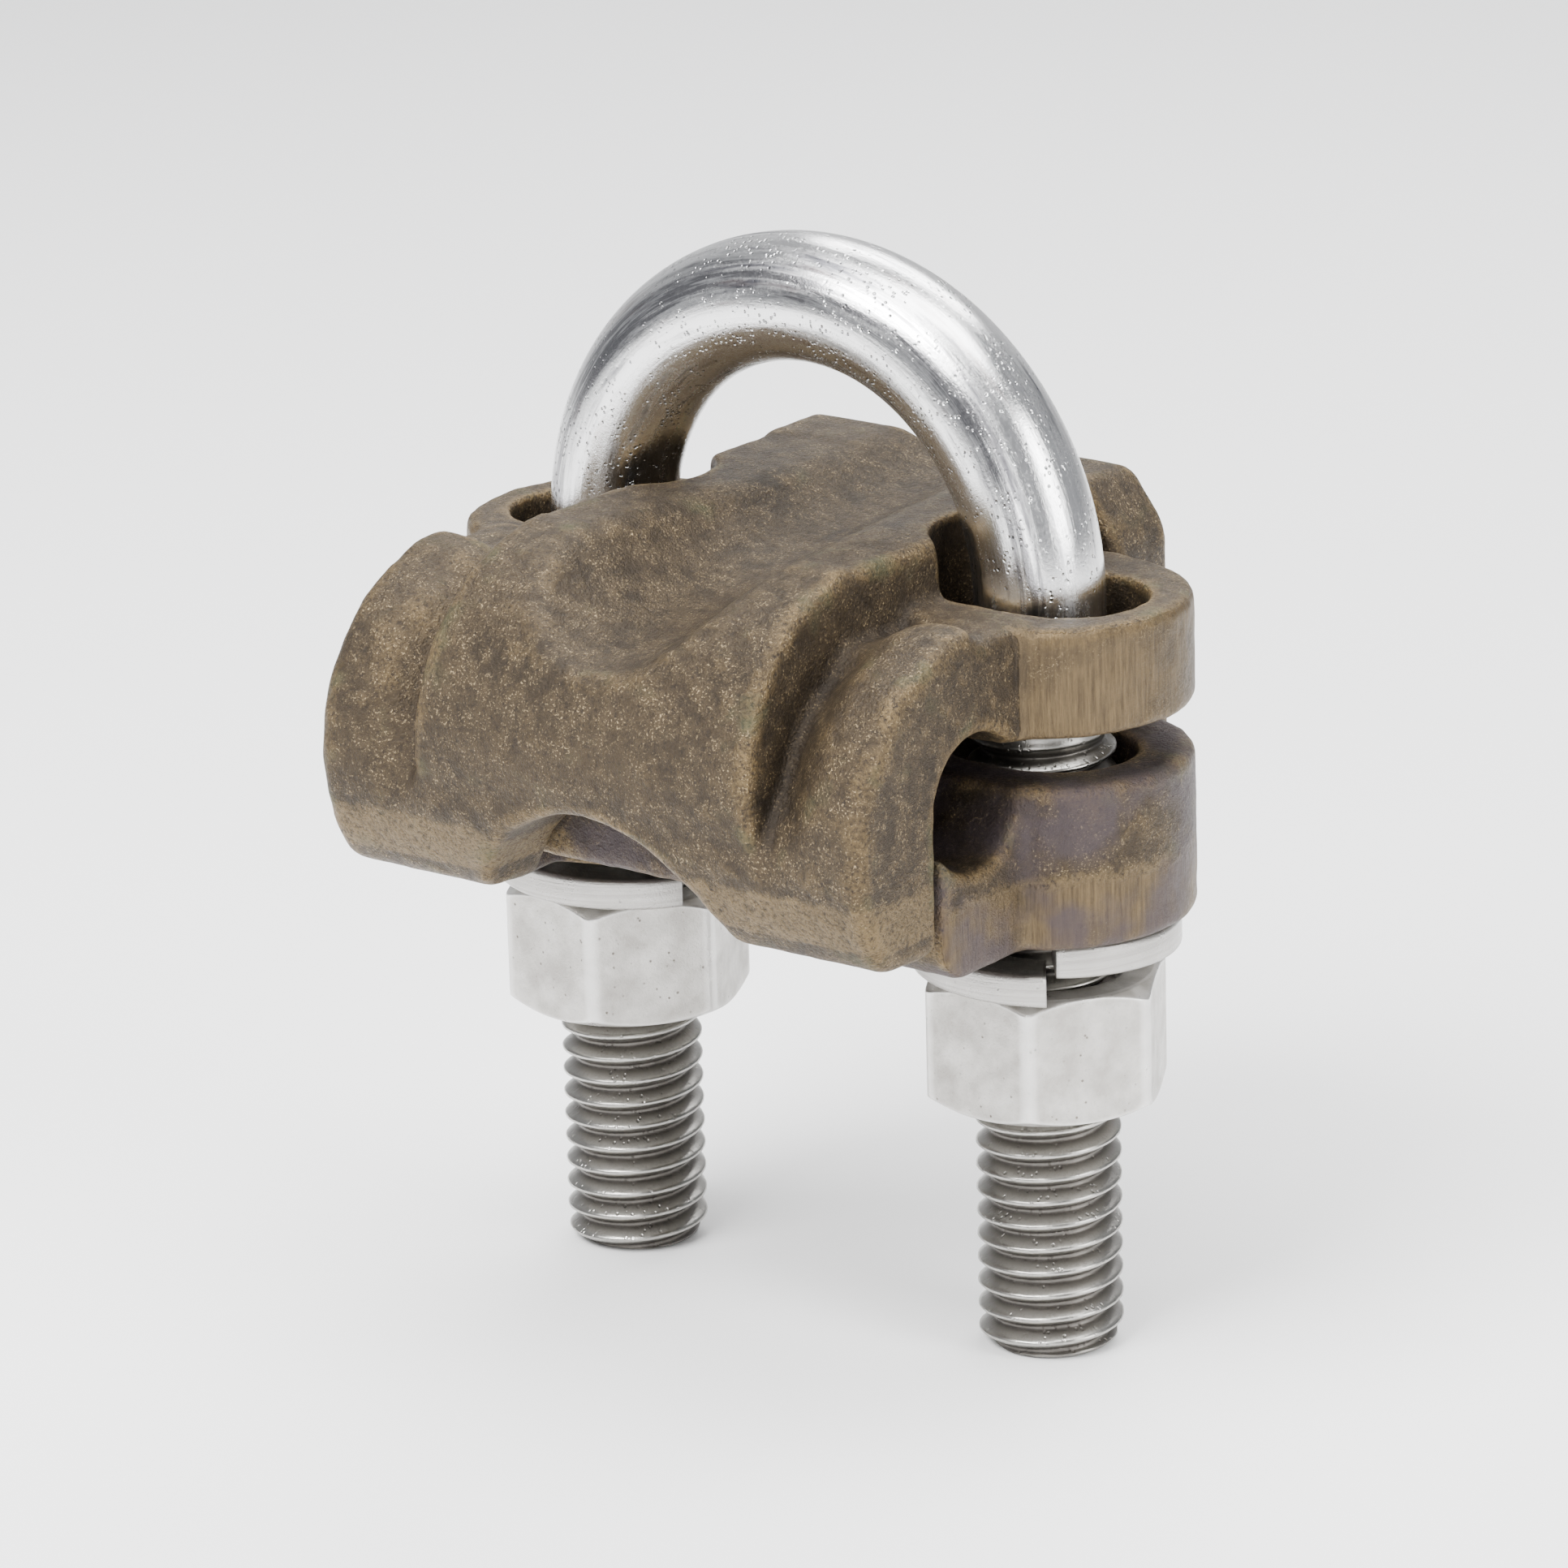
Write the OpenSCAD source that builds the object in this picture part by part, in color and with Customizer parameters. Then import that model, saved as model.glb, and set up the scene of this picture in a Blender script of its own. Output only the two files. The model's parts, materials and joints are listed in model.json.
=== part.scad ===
// U-bolt ground clamp: a bent threaded rod, a hooked saddle casting that takes a
// ground rod on top, a keeper casting that nips a cable under the hook, and a
// lock washer and hex nut on each leg.
// Millimetres. +Z runs up the legs, X joins the legs, Y is the ground rod.

/* [U-bolt] */
// Distance between the two leg axes
leg_spacing = 34; // [26:0.5:44]
// Height from the leg ends to the top of the crown
overall_height = 70.6; // [56:0.2:90]
// Diameter of the plain bent rod
shank_dia = 8.3; // [6:0.1:10]
// Outside diameter of the thread, 3/8 inch coarse
thread_dia = 9.32; // [7:0.01:11.5]
// How far the thread above the free ends stays under full size, on the radius
thread_fade = 0.2; // [0.18:0.01:0.3]
// Height of one thread turn
thread_pitch = 1.5875; // [1:0.0001:2]
// Chamfer on each leg end
end_chamfer = 0.8; // [0.3:0.1:1.2]

/* [Openings] */
// Clear height between the saddle ridges and the inside of the crown
rod_room = 8.7; // [5:0.1:16]
// Diameter of the round cable channel under the hook
cable_dia = 8.8; // [6:0.1:11]
// Loose gap between the saddle lugs and the keeper
loose_gap = 2.9; // [1:0.1:5]
// Half length added to each saddle leg slot, along X
saddle_slot = 2.2; // [1:0.1:3]
// Half length added to each keeper leg slot, along X
keeper_slot = 1.2; // [0.4:0.1:2]
// Room around a leg in its slot
leg_room = 0.34; // [0.2:0.01:0.6]

/* [Saddle] */
// Thickness of the lugs around the legs
lug_thickness = 7.2; // [5:0.1:10]
// Height of the two rod ridges above the lugs
ridge_height = 3.6; // [2:0.1:6]
// Depth of the rod valley at its front end
valley_depth = 5.3; // [3:0.1:6]
// Slope of the rod valley towards the back, degrees
valley_slope = 5.5; // [0:0.5:8]
// Wall of the hook in front of the cable
hook_wall = 7.7; // [5:0.1:10]
// How far the hook hangs below the middle of the cable
hook_drop = 8.6; // [6:0.1:10]
// Thickness of the rear heel
heel_thickness = 5.9; // [4:0.1:8]

/* [Keeper] */
// Thickness of the keeper lugs
keeper_thickness = 10.6; // [8:0.1:13]

/* [Fasteners] */
// Nut width across flats, 9/16 inch
nut_flats = 14.29; // [12:0.01:18]
// Nut height
nut_height = 8.4; // [6:0.1:10]
// Running clearance between nut bore and thread, on the radius
thread_clear = 0.04; // [0.02:0.01:0.08]
// Lock washer band thickness
washer_band = 2.1; // [1.5:0.05:3]
// Free offset between the two ends of a lock washer
washer_rise = 1.9; // [1:0.05:3]
// Lock washer outside diameter
washer_od = 17.3; // [14:0.1:20]
// Direction of the right washer split, degrees
split_right = -52; // [-180:1:180]
// Direction of the left washer split, degrees
split_left = -24; // [-180:1:180]

/* [Hidden] */
$fn = 96;
big = 200;
e = 0.05;
half = leg_spacing / 2;
shank_r = shank_dia / 2;
thread_r = thread_dia / 2;
hole_r = max(thread_r, shank_r) + leg_room;
// leg ends lie a little below the origin, which sits on the full thread
leg_end = -(end_chamfer + 0.2);
// heights, from the crown down
arch_z = overall_height + leg_end - half - shank_r;
ridge_z = arch_z + half - shank_r - rod_room;
lug_top = ridge_z - ridge_height;
lug_bot = lug_top - lug_thickness;
keep_top = lug_bot - loose_gap;
keep_bot = keep_top - keeper_thickness;
rise = washer_rise;
nut_top = keep_bot - washer_band - rise;
nut_bot = nut_top - nut_height;
thread_top = lug_bot - 1.3;
// top of the full-size thread on the free ends, just under the nuts
free_top = nut_bot - 0.6;
// plan sizes
lug_r = hole_r + max(saddle_slot, keeper_slot) + 2.4;
end_x = half + 4.5;
mass_x = half - 2.1;
ridge_x = half - 4.4;
heel_x = half - 1.5;
cable_r = cable_dia / 2;
cable_y = -(hole_r + cable_r + 3.5);
cable_z = keep_top + 0.3;
hook_in = cable_y - cable_r;
hook_out = hook_in - hook_wall;
hook_bot = cable_z - hook_drop;
heel_in = lug_r + 1.0;
heel_out = heel_in + heel_thickness;
heel_bot = keep_top - 4.2;
keep_front = hook_in + 0.6;
// outer roundings of the hook, cylinders along X
lobe_r = (lug_top + 1.0 - cable_z + 1.0) ;
lobe_z = cable_z - 1.0;
lobe_y = hook_out + lobe_r;
mass_r = lobe_r + 2.2;
mass_z = ridge_z - mass_r;
mass_y = hook_out - 0.3 + mass_r;
// skirt arch, a cylinder along Y
skirt_half = half - 7.3;
skirt_rise = 6.5;
skirt_r = (skirt_half * skirt_half + skirt_rise * skirt_rise) / (2 * skirt_rise);
// rod valley, round bottom with straight flanks
valley_r = 9;
flank = 27;

// Sub-part to draw

module along_x(r, len, y, z) {
  translate([-len / 2, y, z]) rotate([0, 90, 0]) cylinder(r = r, h = len);
}

// block from corner to corner
module block(x0, x1, y0, y1, z0, z1) {
  translate([x0, y0, z0]) cube([x1 - x0, y1 - y0, z1 - z0]);
}

// round-ended hole along X, made of two bores and the slab between them
module slot_hole(x, reach, z0, z1) {
  for (s = [-1, 1]) translate([x + s * reach, 0, z0]) cylinder(r = hole_r, h = z1 - z0);
  block(x - reach, x + reach, -hole_r, hole_r, z0, z1);
}

module u_bolt() {
  color("Silver") {
    for (s = [-1, 1]) translate([s * half, 0, 0]) {
      translate([0, 0, leg_end])
        cylinder(r1 = thread_r - end_chamfer, r2 = thread_r, h = end_chamfer);
      translate([0, 0, leg_end + end_chamfer]) cylinder(r = thread_r, h = free_top - leg_end - end_chamfer);
      translate([0, 0, free_top]) cylinder(r = thread_r - thread_fade, h = thread_top - 0.5 - free_top);
      translate([0, 0, thread_top - 0.5]) cylinder(r1 = thread_r - thread_fade, r2 = shank_r, h = 0.5);
      translate([0, 0, thread_top - 1]) cylinder(r = shank_r, h = arch_z - thread_top + 1);
    }
    translate([0, 0, arch_z]) rotate([90, 0, 0]) rotate_extrude(angle = 180)
      translate([half, 0]) circle(r = shank_r);
  }
}

// side outline of the hook and front plate, before the cable channel is cut
module hook_body() {
  // end lobes
  intersection() {
    along_x(lobe_r, 2 * end_x, lobe_y, lobe_z);
    block(-end_x, end_x, -big, lobe_y + e, hook_bot, lobe_z + lobe_r);
  }
  block(-end_x, end_x, lobe_y, -6, lug_bot, lug_top);
  block(-end_x, end_x, lobe_y, lobe_y + 3.2, lug_top - 1, lobe_z + lobe_r);
  // taller middle
  intersection() {
    along_x(mass_r, 2 * mass_x, mass_y, mass_z);
    block(-mass_x, mass_x, -big, mass_y + e, hook_bot, ridge_z);
  }
}

module lug_plate(z0, z1) {
  for (s = [-1, 1]) translate([s * half, 0, z0]) cylinder(r = lug_r, h = z1 - z0);
}

// rounded V that carries the ground rod
module valley() {
  front_y = hook_out + 3;
  translate([0, front_y, ridge_z - valley_depth]) rotate([valley_slope, 0, 0])
    translate([0, -30, valley_r]) rotate([-90, 0, 0]) linear_extrude(120) union() {
      circle(r = valley_r);
      tx = valley_r * sin(flank);
      tz = valley_r * cos(flank);
      w = 60;
      polygon([[-tx, tz], [tx, tz], [tx + w, tz - w * tan(flank)],
               [tx + w, -big], [-tx - w, -big], [-tx - w, tz - w * tan(flank)]]);
    }
}

module saddle() {
  color("DarkGoldenrod") difference() {
    union() {
      hook_body();
      lug_plate(lug_bot, lug_top);
      block(-half, half, -6.5, lug_r, lug_bot, lug_top);
      // centre mass that carries the valley
      translate([0, heel_out, 0]) rotate([90, 0, 0]) linear_extrude(heel_out - mass_y)
        polygon([[-mass_x, lug_bot], [mass_x, lug_bot], [mass_x, ridge_z - 2.4],
                 [mass_x - 1.4, ridge_z], [1.4 - mass_x, ridge_z], [-mass_x, ridge_z - 2.4]]);
      // rear heel
      block(-heel_x, heel_x, heel_in, heel_out, heel_bot, ridge_z - 0.3);
    }
    valley();
    // hook inside: below the channel, then the channel itself
    block(-big, big, hook_in, heel_in, hook_bot - 1, cable_z);
    block(-big, big, cable_y, heel_in, hook_bot - 1, lug_bot);
    along_x(cable_r, big, cable_y, cable_z);
    for (s = [-1, 1]) {
      slot_hole(s * half, saddle_slot, lug_bot - 1, ridge_z + 1);
      // scoop between the middle and each end lobe
      translate([s * (mass_x + 1.0), lobe_y - 0.60 * lobe_r, lobe_z + 0.60 * lobe_r])
        rotate([-45, 0, 0]) cylinder(r = 3.1, h = 40, center = true);
    }
    // arch in the bottom of the skirt
    translate([0, hook_in, hook_bot + skirt_rise - skirt_r]) rotate([90, 0, 0])
      cylinder(r = skirt_r, h = 40);
    // eased top edges of the heel
    translate([0, heel_out, ridge_z]) rotate([45, 0, 0]) cube([big, 2.2, 2.2], center = true);
  }
}

module keeper() {
  web_bot = keep_bot + 3;
  color("Peru") difference() {
    union() {
      lug_plate(keep_bot, keep_top);
      block(-end_x, end_x, keep_front, -2, keep_bot, keep_top);
      block(-half, half, -6, lug_r, keep_bot, keep_top);
      // rib at the back that bears on the saddle
      block(-half + hole_r + keeper_slot + 1.6, half - hole_r - keeper_slot - 1.6,
            lug_r - 4, lug_r, keep_top - 1, lug_bot);
    }
    along_x(cable_r, big, cable_y, cable_z);
    for (s = [-1, 1]) slot_hole(s * half, keeper_slot, keep_bot - 1, keep_top + 1);
    // hollow under the middle, between the two washer seats
    block(-half + washer_od / 2 + 0.5, half - washer_od / 2 - 0.5, -big, big,
          keep_bot - 1, web_bot);
    // bevel along the lower front edge
    translate([0, keep_front, keep_bot]) rotate([45, 0, 0]) cube([big, 2.4, 2.4], center = true);
  }
}

// half of a split washer band: the slab between two sloping planes
module washer_half(side) {
  ro = washer_od / 2;
  climb = rise / 2 - 0.1;
  tip = atan(climb / (2 * ro));
  mid = side > 0 ? rise - climb / 2 : climb / 2;
  intersection() {
    difference() {
      translate([0, 0, -1]) cylinder(r = ro, h = washer_band + rise + 2);
      translate([0, 0, -2]) cylinder(r = hole_r, h = washer_band + rise + 4);
    }
    translate([-big / 2, side > 0 ? 0 : -big / 2, -big / 4]) cube([big, big / 2, big / 2]);
    translate([0, 0, mid]) rotate([0, -side * tip, 0])
      translate([-big / 2, -big / 2, 0]) cube([big, big, washer_band * cos(tip)]);
  }
}

module lock_washer(x, split) {
  translate([x, 0, nut_top]) rotate([0, 0, split]) difference() {
    union() {
      washer_half(1);
      washer_half(-1);
    }
    translate([hole_r - 1, -0.35, -1]) cube([washer_od, 0.7, washer_band + rise + 2]);
  }
}

module washer_left() { color("LightGray") lock_washer(-half, split_left); }
module washer_right() { color("LightGray") lock_washer(half, split_right); }

module hex_nut(x, turn) {
  corner_r = nut_flats / 2 / cos(30);
  face_r = nut_flats / 2 - 0.15;
  drop = (corner_r - face_r) * tan(30);
  bore = thread_r + thread_clear;
  translate([x, 0, nut_bot]) difference() {
    intersection() {
      rotate([0, 0, turn]) cylinder(r = corner_r, h = nut_height, $fn = 6);
      rotate_extrude() polygon([[0, 0], [face_r, 0], [corner_r + 0.01, drop],
        [corner_r + 0.01, nut_height - drop], [face_r, nut_height], [0, nut_height]]);
    }
    translate([0, 0, -1]) cylinder(r = bore, h = nut_height + 2);
    translate([0, 0, -e]) cylinder(r1 = bore + 0.5, r2 = bore, h = 0.5);
    translate([0, 0, nut_height - 0.5 + e]) cylinder(r1 = bore, r2 = bore + 0.5, h = 0.5);
  }
}

module nut_left() { color("Gainsboro") hex_nut(-half, -9); }
module nut_right() { color("Gainsboro") hex_nut(half, -3); }

u_bolt();
saddle();
keeper();
washer_left();
washer_right();
nut_left();
nut_right();
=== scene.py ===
# %% [markdown]
# # A U-bolt ground clamp
# A bent, threaded rod carries two bronze castings. The saddle takes a ground rod
# on top and hooks over a cable in front; the keeper nips the cable from below.
# A split lock washer and a hex nut hold the stack on each leg.
#
# The moving solids are already packed as a frame. This lesson gives every one of
# them a finished surface, in metres, exactly where the frame says it is.

# %% Load the frame
import json
import math
import bmesh
import bpy
import numpy as np
import openvdb
from mathutils import Matrix, Vector


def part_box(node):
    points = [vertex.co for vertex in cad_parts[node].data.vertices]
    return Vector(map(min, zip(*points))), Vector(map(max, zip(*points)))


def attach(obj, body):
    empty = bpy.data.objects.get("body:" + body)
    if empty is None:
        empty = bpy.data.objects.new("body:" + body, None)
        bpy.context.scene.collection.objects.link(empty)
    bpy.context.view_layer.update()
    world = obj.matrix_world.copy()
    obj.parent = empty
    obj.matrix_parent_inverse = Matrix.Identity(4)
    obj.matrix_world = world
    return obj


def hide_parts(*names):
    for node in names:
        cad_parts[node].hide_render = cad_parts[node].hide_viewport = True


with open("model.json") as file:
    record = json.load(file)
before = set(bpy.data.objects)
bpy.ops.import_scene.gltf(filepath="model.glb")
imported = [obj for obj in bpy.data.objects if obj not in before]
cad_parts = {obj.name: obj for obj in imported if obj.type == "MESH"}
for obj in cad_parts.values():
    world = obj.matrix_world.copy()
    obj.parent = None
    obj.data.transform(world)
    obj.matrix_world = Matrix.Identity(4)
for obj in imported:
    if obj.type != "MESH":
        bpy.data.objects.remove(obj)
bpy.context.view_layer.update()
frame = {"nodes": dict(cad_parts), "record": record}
record = frame["record"]
MM = 0.001
print("frame nodes:", sorted(frame["nodes"]))

# %% [markdown]
# ## Sizes read from the frame
# Everything below is built from these few numbers, in millimetres: the mounts
# give the leg spacing, the thread and the cable channel, and the boxes give the
# outer limits of each casting.

# %% Read the driving sizes
mounts = {m["name"]: m for m in record["mounts"]}
studs, cable = mounts["leg_studs"], mounts["cable_clamp"]


def box_mm(node):
    low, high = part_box(node)
    return np.array(low) / MM, np.array(high) / MM


half = studs["dims"]["spacing_x_mm"] / 2
thread_r = studs["dims"]["stud_r_mm"]
cable_r = cable["dims"]["r_mm"]
cable_y, cable_z = cable["pos_m"][1] / MM, cable["pos_m"][2] / MM
end_x = cable["dims"]["length_mm"] / 2
saddle_lo, saddle_hi = box_mm("saddle")
keeper_lo, keeper_hi = box_mm("keeper")
bolt_lo, bolt_hi = box_mm("u_bolt")
lug_r = saddle_hi[0] - half
leg_end, crown_z = bolt_lo[2], bolt_hi[2]
shank_r = 4.15       # the plain rod is thinner than its rolled thread
arch_z = crown_z - half - shank_r
lug_bot = keeper_hi[2]
pitch = 1.5875       # sixteen threads to the inch
print(f"legs {2 * half:.1f} mm apart, lug radius {lug_r:.2f}, crown centre at {arch_z:.2f}")

# %% [markdown]
# ## Camera, floor and light first
# A long lens from the right and a little above. The camera is turned slightly so
# the clamp leans the way it does on the bench.

# %% Place the camera
scene = bpy.context.scene


def place_camera(azimuth, elevation, roll, distance, target, lens):
    a, e, r = (math.radians(v) for v in (azimuth, elevation, roll))
    back = Vector((math.sin(a) * math.cos(e), -math.cos(a) * math.cos(e), math.sin(e)))
    right = Vector((math.cos(a), math.sin(a), 0))
    up = back.cross(right)
    right_r = right * math.cos(r) - up * math.sin(r)
    up_r = up * math.cos(r) + right * math.sin(r)
    where = Vector(target) * MM + back * distance * MM
    data = bpy.data.cameras.new("camera")
    data.lens, data.sensor_width, data.sensor_fit = lens, 36, "HORIZONTAL"
    data.clip_start, data.clip_end = 0.01, 20
    cam = bpy.data.objects.new("camera", data)
    axes = Matrix((right_r, up_r, back)).transposed().to_4x4()
    cam.matrix_world = Matrix.Translation(where) @ axes
    bpy.context.collection.objects.link(cam)
    return cam


scene.camera = place_camera(38, 17.6, 1.6, 456, (-3.6, 0, 32.7), 162.1)
print("camera at", [round(v, 3) for v in scene.camera.matrix_world.translation])

# %% [markdown]
# ## Mesh helpers
# Every round part is a grid of rings, so one helper turns rings into faces. The
# mesh is filled straight from arrays, which is quick even for a fine thread.

# %% Turn arrays into a mesh object
def mesh_object(name, verts_mm, faces, smooth=True):
    faces = np.asarray(faces, dtype=np.int32)
    sides = faces.shape[1]
    mesh = bpy.data.meshes.new(name)
    mesh.vertices.add(len(verts_mm))
    mesh.vertices.foreach_set("co", (np.asarray(verts_mm, float) * MM).ravel())
    mesh.loops.add(faces.size)
    mesh.loops.foreach_set("vertex_index", faces.ravel())
    mesh.polygons.add(len(faces))
    mesh.polygons.foreach_set("loop_start", np.arange(0, faces.size, sides))
    mesh.polygons.foreach_set("use_smooth", np.full(len(faces), smooth))
    mesh.update(calc_edges=True)
    mesh.validate()
    obj = bpy.data.objects.new(name, mesh)
    bpy.context.collection.objects.link(obj)
    return obj


def ring_faces(rings, points, close_rings=False, flip=False):
    i, j = np.meshgrid(np.arange(rings if close_rings else rings - 1),
                       np.arange(points), indexing="ij")
    i2, j2 = (i + 1) % rings, (j + 1) % points
    quad = np.stack([i * points + j, i * points + j2, i2 * points + j2, i2 * points + j], -1)
    quad = quad.reshape(-1, 4)
    return quad[:, ::-1] if flip else quad


def store(obj, name, values, kind="FLOAT"):
    layer = obj.data.attributes.new(name, kind, "POINT")
    field = "value" if kind == "FLOAT" else "vector"
    layer.data.foreach_set(field, np.asarray(values, np.float32).ravel())


def outward(obj):
    """Turn the faces over if the mesh is inside out."""
    mesh = obj.data
    n = len(mesh.polygons)
    centres, normals = np.empty(n * 3), np.empty(n * 3)
    mesh.polygons.foreach_get("center", centres)
    mesh.polygons.foreach_get("normal", normals)
    areas = np.empty(n)
    mesh.polygons.foreach_get("area", areas)
    volume = ((centres.reshape(-1, 3) * normals.reshape(-1, 3)).sum(1) * areas).sum() / 3
    if volume < 0:
        mesh.flip_normals()
    return abs(volume) / MM ** 3


# %% [markdown]
# A pale floor that curves up behind, with three soft lamps and a dim grey sky.

# %% Build the floor and the lamps
def sweep_floor():
    across = np.linspace(-1.6, 1.6, 5)
    run = [(-1.2, 0.0), (0.6, 0.0)]
    for t in np.linspace(0, math.pi / 2, 16):
        run.append((0.6 + 0.6 * math.sin(t), 0.6 - 0.6 * math.cos(t)))
    run.append((1.2, 2.4))
    turn = math.radians(38)
    verts = []
    for y, z in run:
        for x in across:
            verts.append(((x * math.cos(turn) - y * math.sin(turn)) / MM,
                          (x * math.sin(turn) + y * math.cos(turn)) / MM,
                          z / MM + leg_end - 0.02))
    n = len(across)
    faces = [(r * n + c, r * n + c + 1, (r + 1) * n + c + 1, (r + 1) * n + c)
             for r in range(len(run) - 1) for c in range(n - 1)]
    return mesh_object("floor", verts, faces)


floor = sweep_floor()


def soft_lamp(name, azimuth, elevation, distance, size, watts, tint=(1, 1, 1)):
    a, e = math.radians(azimuth), math.radians(elevation)
    back = Vector((math.sin(a) * math.cos(e), -math.cos(a) * math.cos(e), math.sin(e)))
    data = bpy.data.lights.new(name, "AREA")
    data.shape, data.size, data.size_y = "RECTANGLE", size[0], size[1]
    data.energy, data.color = watts, tint
    lamp = bpy.data.objects.new(name, data)
    lamp.location = Vector((0, 0, 0.035)) + back * distance
    lamp.rotation_euler = back.to_track_quat("Z", "Y").to_euler()
    bpy.context.collection.objects.link(lamp)
    return lamp


soft_lamp("key", -8, 50, 0.55, (0.34, 0.22), 7.0)
soft_lamp("top", 40, 84, 0.50, (0.50, 0.30), 5.0)
soft_lamp("fill", 92, 22, 0.60, (0.22, 0.40), 3.4)
soft_lamp("front", 28, 8, 0.75, (0.16, 0.40), 1.6)
soft_lamp("back", 200, 48, 0.60, (0.40, 0.20), 3.0)
world = bpy.data.worlds.new("studio")
world.use_nodes = True
world.node_tree.nodes["Background"].inputs["Color"].default_value = (0.93, 0.95, 1.0, 1)
world.node_tree.nodes["Background"].inputs["Strength"].default_value = 0.38
scene.world = world
print("stage ready")

# %% [markdown]
# ## The rolled thread
# A thread is a radius that depends on height and angle. The crest follows a
# right-hand helix: one turn climbs one pitch. `thread_wave` is 1 on the crest
# and 0 in the root; the nuts use the same wave, so they mesh with the legs. The
# packed legs are plain cylinders, slimmer above the nuts, and serve collision
# only: this thread is full size all the way up.

# %% Describe the thread
thread_depth = 0.93
root_r = thread_r - thread_depth
turn = 2 * math.pi
crest_share, flank_share = 0.86, 0.75


def thread_wave(z, angle, phase):
    u = ((z - phase) / pitch - angle / turn + 0.5) % 1.0
    w = np.abs(u - 0.5) * 2
    f = np.clip((crest_share - w) / flank_share, 0, 1)
    return 0.80 * f + 0.20 * f * f * (3 - 2 * f)


def fade(x, low, high):
    t = np.clip((x - low) / (high - low), 0, 1)
    return t * t * (3 - 2 * t)


# height of a crest at angle zero, for the left and the right leg
phases = {-1: 0.3, 1: 2.13}
thread_top = lug_bot - 1.3
print(f"thread {2 * thread_r:.2f} mm over roots of {2 * root_r:.2f}, pitch {pitch}")

# %% [markdown]
# ## The U-bolt
# One continuous skin: rings climb the right leg, go over the crown and come down
# the left leg. A slow noise keeps the drawn rod from being perfectly round.

# %% Build the U-bolt
def smooth_noise(seed, shape):
    """Periodic noise on a ring-and-length grid, between about -1 and 1."""
    rng = np.random.default_rng(seed)
    rows, cols = shape
    total = np.zeros(shape)
    s = np.linspace(0, 1, rows)[:, None]
    t = np.linspace(0, 2 * math.pi, cols, endpoint=False)[None, :]
    for _ in range(26):
        k, m = rng.uniform(2, 26), rng.integers(0, 5)
        total += rng.normal() * np.sin(2 * math.pi * k * s + m * t + rng.uniform(0, 6.28))
    return total / 5


same_point = 1e-7       # metres


def build_u_bolt():
    n = 96
    ring = np.linspace(0, 2 * math.pi, n, endpoint=False)
    step = pitch / 18
    heights = np.concatenate([[leg_end + 0.10], np.arange(leg_end + 0.14, thread_top, step)])
    plain = np.linspace(thread_top, arch_z, 30)
    arc = np.linspace(0, math.pi, 150)[1:-1]
    end_r = thread_r - 0.85       # the flat at each leg end, inside its chamfer

    def leg_ring(side, z):
        angle = ring if side > 0 else math.pi - ring
        wave = thread_wave(z, angle, phases[side])
        on = fade(thread_top - z, 0.0, 1.7)
        r = shank_r + (root_r + (thread_r - root_r) * wave - shank_r) * on
        r = np.minimum(r, end_r + (z - leg_end) * 1.05)
        x = side * half + r * np.cos(angle)
        return np.stack([x, r * np.sin(angle), np.full(n, z)], 1), wave * on + 0.55 * (1 - on)

    def cap(side, scale, z):
        angle = ring if side > 0 else math.pi - ring
        r = end_r * scale
        return np.stack([side * half + r * np.cos(angle), r * np.sin(angle), np.full(n, z)], 1)

    for side in (1, -1):
        part, waves = [], []
        for scale, z in ((0.0, leg_end), (0.5, leg_end + 0.005), (0.9, leg_end + 0.03)):
            part.append(cap(side, scale, z))
            waves.append(np.full(n, 0.8))
        for z in np.concatenate([heights, plain]):
            p, w = leg_ring(side, z)
            part.append(p)
            waves.append(w)
        if side > 0:
            right, right_w = part, waves
        else:
            left, left_w = part[::-1], waves[::-1]
    over = []
    for t in arc:
        centre = np.array([half * math.cos(t), 0, arch_z + half * math.sin(t)])
        radial = np.array([math.cos(t), 0, math.sin(t)])
        over.append(centre + shank_r * (np.cos(ring)[:, None] * radial
                                        + np.sin(ring)[:, None] * np.array([0, 1, 0])))
    rings = np.array(right + over + left)
    waves = np.array(right_w + [np.full(n, 0.55)] * len(over) + left_w)
    centres = rings.mean(1)
    along = np.concatenate([[0], np.cumsum(np.linalg.norm(np.diff(centres, axis=0), axis=1))])
    plain_part = fade(centres[:, 2], thread_top, thread_top + 3)[:, None]
    wobble = smooth_noise(4, rings.shape[:2]) * 0.035 * plain_part - 0.03 * plain_part
    outward_dir = rings - centres[:, None]
    length = np.linalg.norm(outward_dir, axis=2, keepdims=True)
    rings = rings + outward_dir / np.maximum(length, 1e-6) * wobble[..., None]
    obj = mesh_object("u_bolt_skin", rings.reshape(-1, 3), ring_faces(len(rings), n, flip=True))
    store(obj, "crest", waves.ravel())
    local = np.stack([np.tile(4 * np.cos(ring), (len(rings), 1)),
                      np.tile(4 * np.sin(ring), (len(rings), 1)),
                      np.tile(along[:, None], (1, n))], -1)
    store(obj, "flow", local.reshape(-1, 3), "FLOAT_VECTOR")
    store(obj, "plain", np.tile(plain_part, (1, n)).ravel())
    # the innermost ring of each leg end is one point, so its corners are welded
    skin = bmesh.new()
    skin.from_mesh(obj.data)
    bmesh.ops.remove_doubles(skin, verts=skin.verts, dist=same_point)
    skin.to_mesh(obj.data)
    skin.free()
    return obj


u_bolt = build_u_bolt()
print(f"u_bolt: {len(u_bolt.data.vertices)} vertices, volume {outward(u_bolt):.0f} mm3")
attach(u_bolt, "u_bolt")
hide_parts("u_bolt")

# %% [markdown]
# ## Hex nuts
# The outside is the smaller of two radii: the hexagon and the chamfer cone. Where
# they cross, the curved chamfer line appears by itself.

# %% Build a nut
def soft_min(a, b, k):
    h = np.clip(0.5 + 0.5 * (b - a) / k, 0, 1)
    return b + (a - b) * h - k * h * (1 - h)


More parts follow.
